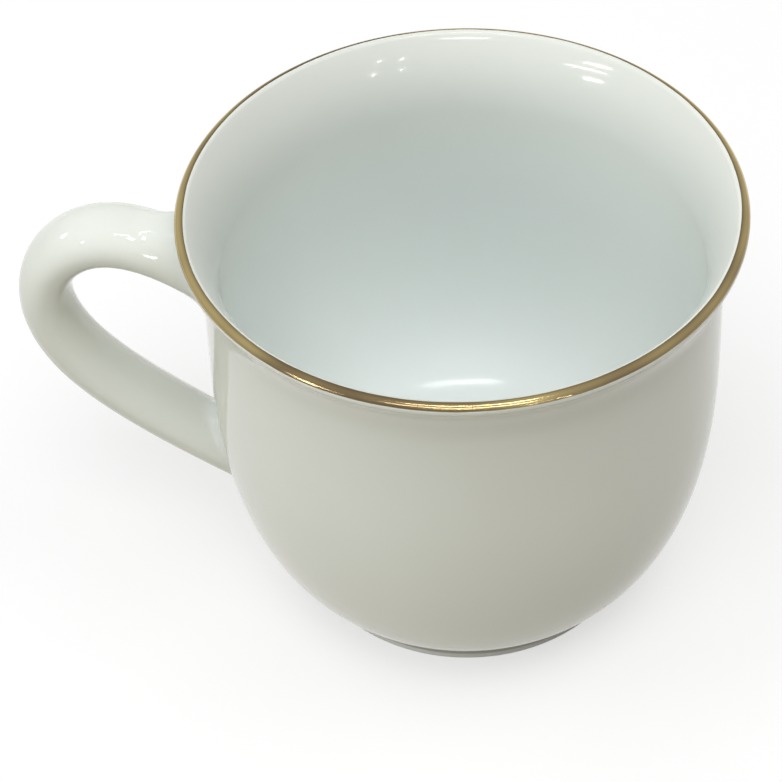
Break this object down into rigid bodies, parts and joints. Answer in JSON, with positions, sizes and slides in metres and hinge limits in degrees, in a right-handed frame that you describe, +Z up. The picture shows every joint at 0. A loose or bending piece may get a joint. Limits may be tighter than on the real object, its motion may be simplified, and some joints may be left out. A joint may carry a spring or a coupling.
{
  "type": "teacup",
  "caption": "Round porcelain teacup with upright walls, flared lip with a gilt line, low foot ring and loop handle; open at the top, finger room through the loop.",
  "frame": {"origin": "centre of the foot ring on the plane that the cup stands on, under the middle of the bowl", "axes": "+Z up along the axis of the bowl, out of its mouth; -X from that axis to the handle, so the handle's loop lies in the XZ plane; +Y completes a right-handed frame"},
  "size_m": [0.1096, 0.0842, 0.0711],
  "materials": {
    "glazed_porcelain": "gloss",
    "gilding": "polished"
  },
  "bodies": {
    "root": {"bowl": "glazed_porcelain", "foot_ring": "glazed_porcelain", "handle": "glazed_porcelain", "upper_handle_joint": "glazed_porcelain", "lower_handle_joint": "glazed_porcelain", "gold_rim_band": "gilding"}
  },
  "joints": []
}
